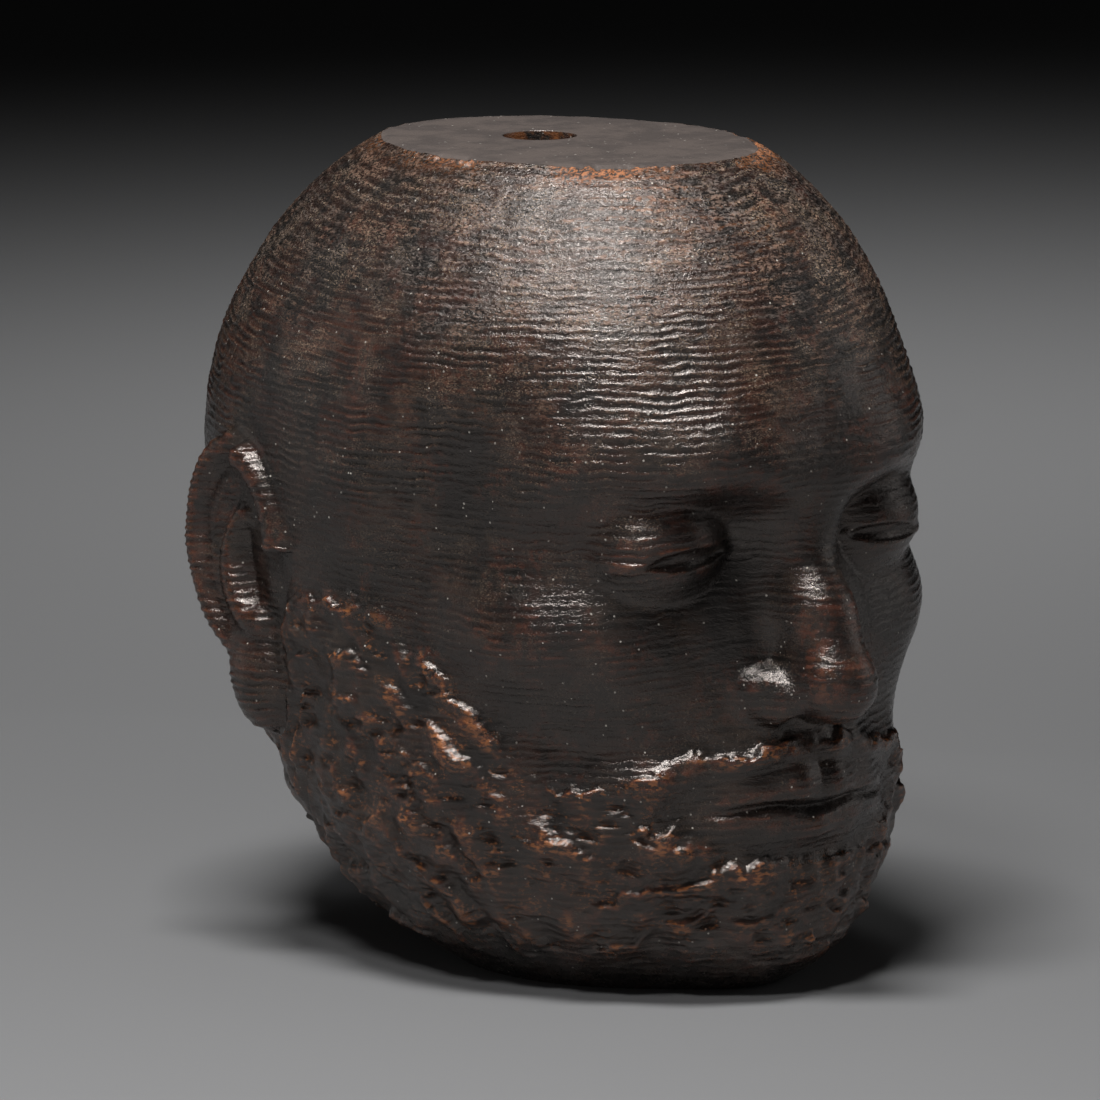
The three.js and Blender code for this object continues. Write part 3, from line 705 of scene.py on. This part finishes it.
def mesh_of_grid(name, grid):
    """A closed mesh of a grid that wraps both ways, with a texture map laid out by distance"""
    rows, columns = grid.shape[:2]
    row, column = np.mgrid[0:rows, 0:columns]
    corners = [(row, column), (row, column + 1), (row + 1, column + 1), (row + 1, column)]
    faces = np.stack([(r % rows) * columns + c % columns for r, c in corners], axis=-1).reshape(-1, 4)
    mesh = bpy.data.meshes.new(name)
    mesh.vertices.add(rows * columns)
    mesh.vertices.foreach_set("co", grid.ravel())
    mesh.loops.add(faces.size)
    mesh.loops.foreach_set("vertex_index", faces.ravel())
    mesh.polygons.add(len(faces))
    mesh.polygons.foreach_set("loop_start", np.arange(0, faces.size, 4))
    mesh.update(calc_edges=True)
    lengths = np.linalg.norm(np.roll(grid, -1, axis=0) - grid, axis=-1).mean(axis=1)
    down = np.concatenate([[0], np.cumsum(lengths)]) / lengths.sum()
    layer = mesh.uv_layers.new(name="OFBake")
    uv = np.stack([np.stack([c / columns, down[r]], axis=-1) for r, c in corners], axis=2)
    layer.data.foreach_set("uv", uv.reshape(-1))
    mesh.shade_smooth()
    return mesh


mesh = mesh_of_grid("carved_bead", grid)


def paint(mesh, name, values):
    """Keeps a value for each of the mesh's first points, and 0 for the others"""
    attribute = mesh.attributes.new(name, "FLOAT", "POINT")
    full = np.zeros(len(mesh.vertices))
    full[:values.size] = values.ravel()
    attribute.data.foreach_set("value", full)


STANDING_SCALE = 10000      # so that 1 is a tenth of a millimetre
LOW_FADE = 0.005            # up to this level the patina is lighter: a grey film and painted light bounced up from the floor

paint(mesh, "furrow", ridged * (1 - crest))
paint(mesh, "pit", pit)
paint(mesh, "standing", standing * STANDING_SCALE)
paint(mesh, "beard", cover * off_low)
paint(mesh, "low", 1 - ramp(point[2] / LOW_FADE))
paint(mesh, "worn", worn * (0.75 + 0.25 * front_left) * (0.4 + 0.6 * fibrous))
paint(mesh, "fibrous", fibrous)
# The furrows between the ridges, which painted shade darkens
paint(mesh, "line", (1 - crest) * (0.3 + 0.7 * dash) * off_foot)
paint(mesh, "fray", np.clip(fray * 1.5, 0, 1))
paint(mesh, "streak", streak)
on_flats = np.zeros(grid.shape[:2])
on_flats[ROWS:ROWS + FLAT_ROWS + 1] = 1
on_flats[-FLAT_ROWS:] = 1
paint(mesh, "sawn", on_flats)
in_bore = np.zeros(grid.shape[:2])
in_bore[ROWS + FLAT_ROWS + 1:-FLAT_ROWS] = 1
paint(mesh, "bore", in_bore)
head = bpy.data.objects.new("carved_bead", mesh)
bpy.context.scene.collection.objects.link(head)

# The wood: near-black patina over red-brown wood, which shows in the breaks, pits and worn streaks
material = bpy.data.materials.new("dark_wood")
material.use_nodes = True
tree = material.node_tree
shader = tree.nodes["Principled BSDF"]


def placed(kind, inputs=None, **settings):
    """A node of the wood, with its settings and with each input either linked or set"""
    node = tree.nodes.new(kind)
    for name, value in settings.items():
        setattr(node, name, value)
    for name, value in (inputs or {}).items():
        if isinstance(value, bpy.types.NodeSocket):
            tree.links.new(value, node.inputs[name])
        else:
            node.inputs[name].default_value = value
    return node


def attribute(name):
    return placed("ShaderNodeAttribute", attribute_name=name).outputs["Fac"]


def math_node(operation, a, b, c=0.5):
    return placed("ShaderNodeMath", {0: a, 1: b, 2: c}, operation=operation).outputs[0]


def combined(operation, values):
    total = values[0]
    for value in values[1:]:
        total = math_node(operation, total, value)
    return total


def product(*values):
    return combined("MULTIPLY", values)


def largest(*values):
    return combined("MAXIMUM", values)


def ramped(value, low, high):
    inputs = {"Value": value, "From Min": low, "From Max": high}
    return placed("ShaderNodeMapRange", inputs, interpolation_type="SMOOTHSTEP").outputs["Result"]


def mixed(factor, a, b):
    return placed("ShaderNodeMix", {"Factor": factor, "A": a, "B": b}, data_type="RGBA").outputs["Result"]


metres = placed("ShaderNodeTexCoord").outputs["Object"]
to_millimetres = placed("ShaderNodeVectorMath", {0: metres, "Scale": 1000.0}, operation="SCALE")
millimetres = to_millimetres.outputs["Vector"]


def grain(size, detail=3, flatness=1, roughness=0.55):
    """Noise in lumps of so many millimetres, whose height is the given share of their width"""
    stretch = (flatness, flatness, 1)
    laid = placed("ShaderNodeMapping", {"Vector": millimetres, "Scale": stretch}).outputs["Vector"]
    inputs = {"Vector": laid, "Scale": 1 / size, "Detail": detail, "Roughness": roughness}
    return placed("ShaderNodeTexNoise", inputs).outputs["Fac"]


def patches(size, low, high, **kind):
    """1 where the noise is over the high value, and down to 0 where it is under the low one"""
    return ramped(grain(size, **kind), low, high)


# The colours of the layers, each of which is laid over the ones before it
SOOT_AND_SHADE = (0.007, 0.0065, 0.0062, 1)
GREY_FILM_AND_BOUNCE = (0.07, 0.06, 0.055, 1)
BLACK = (0.0125, 0.0115, 0.0112, 1)
BROWN = (0.034, 0.024, 0.019, 1)
TAN_WORN_AND_GLEAM = (0.24, 0.138, 0.093, 1)
GREY_WORN_AND_GLEAM = (0.13, 0.1, 0.085, 1)
RED = (0.095, 0.03, 0.018, 1)
PIT_SHADE = (0.02, 0.009, 0.006, 1)
RUST = (0.36, 0.13, 0.045, 1)
TAN = (0.4, 0.29, 0.2, 1)
SAWN = (0.11, 0.09, 0.081, 1)
SMUDGED = (0.08, 0.067, 0.062, 1)
DUST = (0.6, 0.56, 0.5, 1)

# Patina, lighter and greyer near the floor: partly a dusty film, partly painted light bounced up from the
# floor
browner = patches(2.2, 0.42, 0.66, detail=4)
grey_film_and_bounce = product(attribute("low"), patches(0.5, 0.2, 0.8, detail=4))
colour = mixed(browner, BLACK, BROWN)
colour = mixed(grey_film_and_bounce, colour, GREY_FILM_AND_BOUNCE)

# Threads of bare fibre on the worn skull, light tan and grey where the forehead gleams: partly worn wood,
# partly a painted gleam
threads = patches(0.055, 0.46, 0.58, flatness=0.35, roughness=0.75)
warmer = patches(1.2, 0.42, 0.6)
worn_through_and_gleam = product(attribute("worn"), threads, patches(0.8, 0.34, 0.56, detail=4))
colour = mixed(worn_through_and_gleam, colour, mixed(warmer, GREY_WORN_AND_GLEAM, TAN_WORN_AND_GLEAM))

# Red wood in patches, on rubbed edges and in the furrows between ridges
reddened = product(patches(1.5, 0.52, 0.64), patches(0.2, 0.4, 0.6), 0.45)
rubbed = product(ramped(attribute("standing"), 0.15, 0.7), patches(0.35, 0.42, 0.58, detail=4), 0.7)
furrowed = product(attribute("furrow"), patches(1.8, 0.42, 0.56, detail=2))
for amount in (reddened, rubbed, furrowed):
    colour = mixed(amount, colour, RED)

# Tan flecks, most of them where it is worn; painted shade, with some soot, in the furrows between the
# ridges; and dark stains
fleck = patches(0.04, 0.56, 0.62, detail=2, flatness=0.6, roughness=0.7)
fleck_amount = math_node("MULTIPLY_ADD", attribute("worn"), 0.8, 0.15)
colour = mixed(product(fleck, patches(1.7, 0.4, 0.6, detail=4), fleck_amount), colour, TAN)
# Painted shade, with some soot, darkens the furrows between the ridges
colour = mixed(product(attribute("line"), 0.85), colour, SOOT_AND_SHADE)
stained = product(patches(0.35, 0.53, 0.66, flatness=0.6), 0.75)
colour = mixed(stained, colour, BLACK)

# Rust-brown wood in the beard, in the crown's broken edge and in the bore
pitted = largest(patches(0.9, 0.52, 0.64), ramped(attribute("pit"), 0.02, 0.3))
beard_specks = patches(0.1, 0.52, 0.6, detail=4, flatness=0.6, roughness=0.65)
in_beard = product(attribute("beard"), pitted, beard_specks, 0.45)
tuft_specks = patches(0.12, 0.46, 0.6, detail=4, flatness=0.5)
tuft_amount = math_node("MULTIPLY_ADD", attribute("beard"), 0.65, 0.1)
on_tufts = product(ramped(attribute("standing"), 0.4, 1.2), tuft_specks, tuft_amount)
broken_wood = product(attribute("fray"), patches(0.11, 0.46, 0.56, detail=4, roughness=0.7))
streaked = product(attribute("streak"), patches(0.08, 0.44, 0.6, flatness=0.4, roughness=0.7), 0.6)
bored = product(attribute("bore"), patches(0.5, 0.4, 0.6), 0.5)
colour = mixed(attribute("fray"), colour, SOOT_AND_SHADE)
colour = mixed(largest(in_beard, on_tufts, broken_wood, streaked, bored), colour, RUST)
# Painted shade darkens the punched pits
colour = mixed(product(ramped(attribute("pit"), 0.2, 0.8), 0.7), colour, PIT_SHADE)

# The sawn crown and foot
scuffed = mixed(patches(1.3, 0.4, 0.62, detail=5, roughness=0.65), SAWN, SMUDGED)
colour = mixed(attribute("sawn"), colour, scuffed)

# Dust specks
SPECK_SPACING = 0.28        # millimetres, like the grain's sizes
SPECK_REACH = 0.11          # of that spacing
specks = placed("ShaderNodeTexVoronoi", {"Vector": millimetres, "Scale": 1 / SPECK_SPACING})
chosen = placed("ShaderNodeSeparateColor", {"Color": specks.outputs["Color"]}).outputs["Red"]
in_speck = math_node("LESS_THAN", specks.outputs["Distance"], SPECK_REACH)
colour = mixed(product(in_speck, ramped(chosen, 0.5, 1.0), 0.8), colour, DUST)
tree.links.new(colour, shader.inputs["Base Color"])

# The rubbed patina shines, and worn, sawn, broken, punched and carved places are duller.
PATINA_IOR = 1.8
PATINA_TINT = (1, 0.9, 0.84, 1)
POLISH = {"From Min": 0.3, "From Max": 0.7, "To Min": 0.15, "To Max": 0.32}
THREAD_ROUGHNESS = 0.62
ROUGHNESS = {"sawn": 0.38, "fray": 0.75, "pit": 0.6, "beard": 0.32}

shader.inputs["IOR"].default_value = PATINA_IOR
shader.inputs["Specular Tint"].default_value = PATINA_TINT
polish = placed("ShaderNodeMapRange", {"Value": grain(0.15, detail=4), **POLISH}).outputs["Result"]
rough_threads = product(attribute("worn"), threads, THREAD_ROUGHNESS)
rough_places = [product(attribute(name), amount) for name, amount in ROUGHNESS.items()]
tree.links.new(largest(polish, rough_threads, *rough_places), shader.inputs["Roughness"])

# Fibres, more open on the worn skull, and pores
FIBRE_RELIEF = 0.000052
PORE_RELIEF = 0.000011


def bump(height, strength, relief, **under):
    inputs = {"Height": height, "Strength": strength, "Distance": relief, **under}
    return placed("ShaderNodeBump", inputs).outputs["Normal"]


opened = math_node("MULTIPLY_ADD", attribute("fibrous"), 0.5, 0.5)
fibres = bump(grain(0.075, flatness=0.38, roughness=0.65), opened, FIBRE_RELIEF)
pores = bump(grain(0.038, detail=1), 1.0, PORE_RELIEF, Normal=fibres)
tree.links.new(pores, shader.inputs["Normal"])
mesh.materials.append(material)

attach(head, "root")
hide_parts("carved_head")

# Studio floor
# A plain sheet of grey paper, much larger than what is seen of it. It lies flat and loose, and the bead
# stands on it by its sawn foot.
FLOOR_HALF = 0.6
FLOOR_COLOUR = (0.165, 0.165, 0.167, 1)
FLOOR_ROUGHNESS = 0.7

floor_mesh = bpy.data.meshes.new("floor")
floor_corners = [(x, y, 0) for x, y in ((-1, -1), (1, -1), (1, 1), (-1, 1))]
floor_mesh.from_pydata([Vector(corner) * FLOOR_HALF for corner in floor_corners], [], [(0, 1, 2, 3)])
floor = bpy.data.objects.new("floor", floor_mesh)
bpy.context.scene.collection.objects.link(floor)
floor_material = bpy.data.materials.new("floor_paper")
floor_material.use_nodes = True
floor_shader = floor_material.node_tree.nodes["Principled BSDF"]
floor_shader.inputs["Base Color"].default_value = FLOOR_COLOUR
floor_shader.inputs["Roughness"].default_value = FLOOR_ROUGHNESS
floor_mesh.materials.append(floor_material)

# Camera
# A long lens, forty degrees round from the face's front and looking down about ten. It is aimed so that the
# middle of the bead falls on its pixel.
CAMERA_AZIMUTH = math.radians(-40)
CAMERA_ELEVATION = math.radians(9.8)
CAMERA_DISTANCE = 0.3
PHOTO_WIDTH = 1100
PIXELS_PER_METRE = 33700
SUBJECT_PIXEL = (556, 539)
SENSOR = 36.0

away_from = Vector((
    math.sin(CAMERA_AZIMUTH) * math.cos(CAMERA_ELEVATION),
    -math.cos(CAMERA_AZIMUTH) * math.cos(CAMERA_ELEVATION),
    math.sin(CAMERA_ELEVATION),
))
right = Vector((math.cos(CAMERA_AZIMUTH), math.sin(CAMERA_AZIMUTH), 0))
up = away_from.cross(right)
subject = Vector((0, setback, BEAD_HEIGHT / 2))
aim = subject - right * ((SUBJECT_PIXEL[0] - PHOTO_WIDTH / 2) / PIXELS_PER_METRE)
aim = aim - up * ((PHOTO_WIDTH / 2 - SUBJECT_PIXEL[1]) / PIXELS_PER_METRE)
camera_data = bpy.data.cameras.new("camera")
camera_data.sensor_width = SENSOR
camera_data.lens = SENSOR * CAMERA_DISTANCE * PIXELS_PER_METRE / PHOTO_WIDTH
camera_data.clip_start = 0.01
camera_data.clip_end = 10
camera = bpy.data.objects.new("camera", camera_data)
camera.location = aim + away_from * CAMERA_DISTANCE
camera.rotation_euler = away_from.to_track_quat("Z", "Y").to_euler()
bpy.context.scene.collection.objects.link(camera)
bpy.context.scene.camera = camera

# Light
# Three soft boxes with grids hang over the bead in a dark room: one over its front, which gives the gleam on
# the forehead, one further forward and one behind it. A white card stands before it and one to each side.
ROOM_GREY = 0.0007

toward = Vector((away_from.x, away_from.y, 0)).normalized()
up_way = Vector((0, 0, 1))


def area_light(name, place_about, size, energy):
    """A flat light at (right, towards the camera, up) from the frame's middle"""
    aside, before, level = place_about
    data = bpy.data.lights.new(name, "AREA")
    data.shape = "RECTANGLE"
    data.size, data.size_y = size
    data.energy = energy
    light = bpy.data.objects.new(name, data)
    light.location = right * aside + toward * before + up_way * level
    bpy.context.scene.collection.objects.link(light)
    return light


def soft_box(name, place_about, size, spread, energy, tilt=0, gloss=True):
    """A soft box that faces down, tilted towards the camera's side by so many degrees"""
    box = area_light(name, place_about, size, energy)
    backwards = up_way * math.cos(math.radians(tilt)) - toward * math.sin(math.radians(tilt))
    box.rotation_euler = backwards.to_track_quat("Z", "Y").to_euler()
    box.data.spread = math.radians(spread)
    box.visible_glossy = gloss


def card(name, place_about, size, energy):
    """A white card that stands near the bead and faces it"""
    light = area_light(name, place_about, size, energy)
    light.rotation_euler = (light.location - subject).to_track_quat("Z", "Y").to_euler()


soft_box("key_light", (-0.02, 0.042, 0.175), size=(0.06, 0.035), spread=120, energy=0.195, tilt=5)
soft_box("front_light", (-0.045, 0.13, 0.19), size=(0.04, 0.04), spread=110, energy=0.15, gloss=False)
soft_box("back_light", (0.012, -0.1, 0.14), size=(0.1, 0.09), spread=55, energy=0.03, gloss=False)
card("front_card", (0, 0.33, 0.08), size=(0.5, 0.3), energy=0.06)
card("left_card", (-0.2, -0.05, 0.06), size=(0.14, 0.1), energy=0.016)
card("right_card", (0.2, -0.05, 0.06), size=(0.14, 0.1), energy=0.024)

world = bpy.data.worlds.new("room")
world.use_nodes = True
world.node_tree.nodes["Background"].inputs["Color"].default_value = (ROOM_GREY, ROOM_GREY, ROOM_GREY, 1)
bpy.context.scene.world = world
bpy.context.scene.view_settings.view_transform = "Standard"
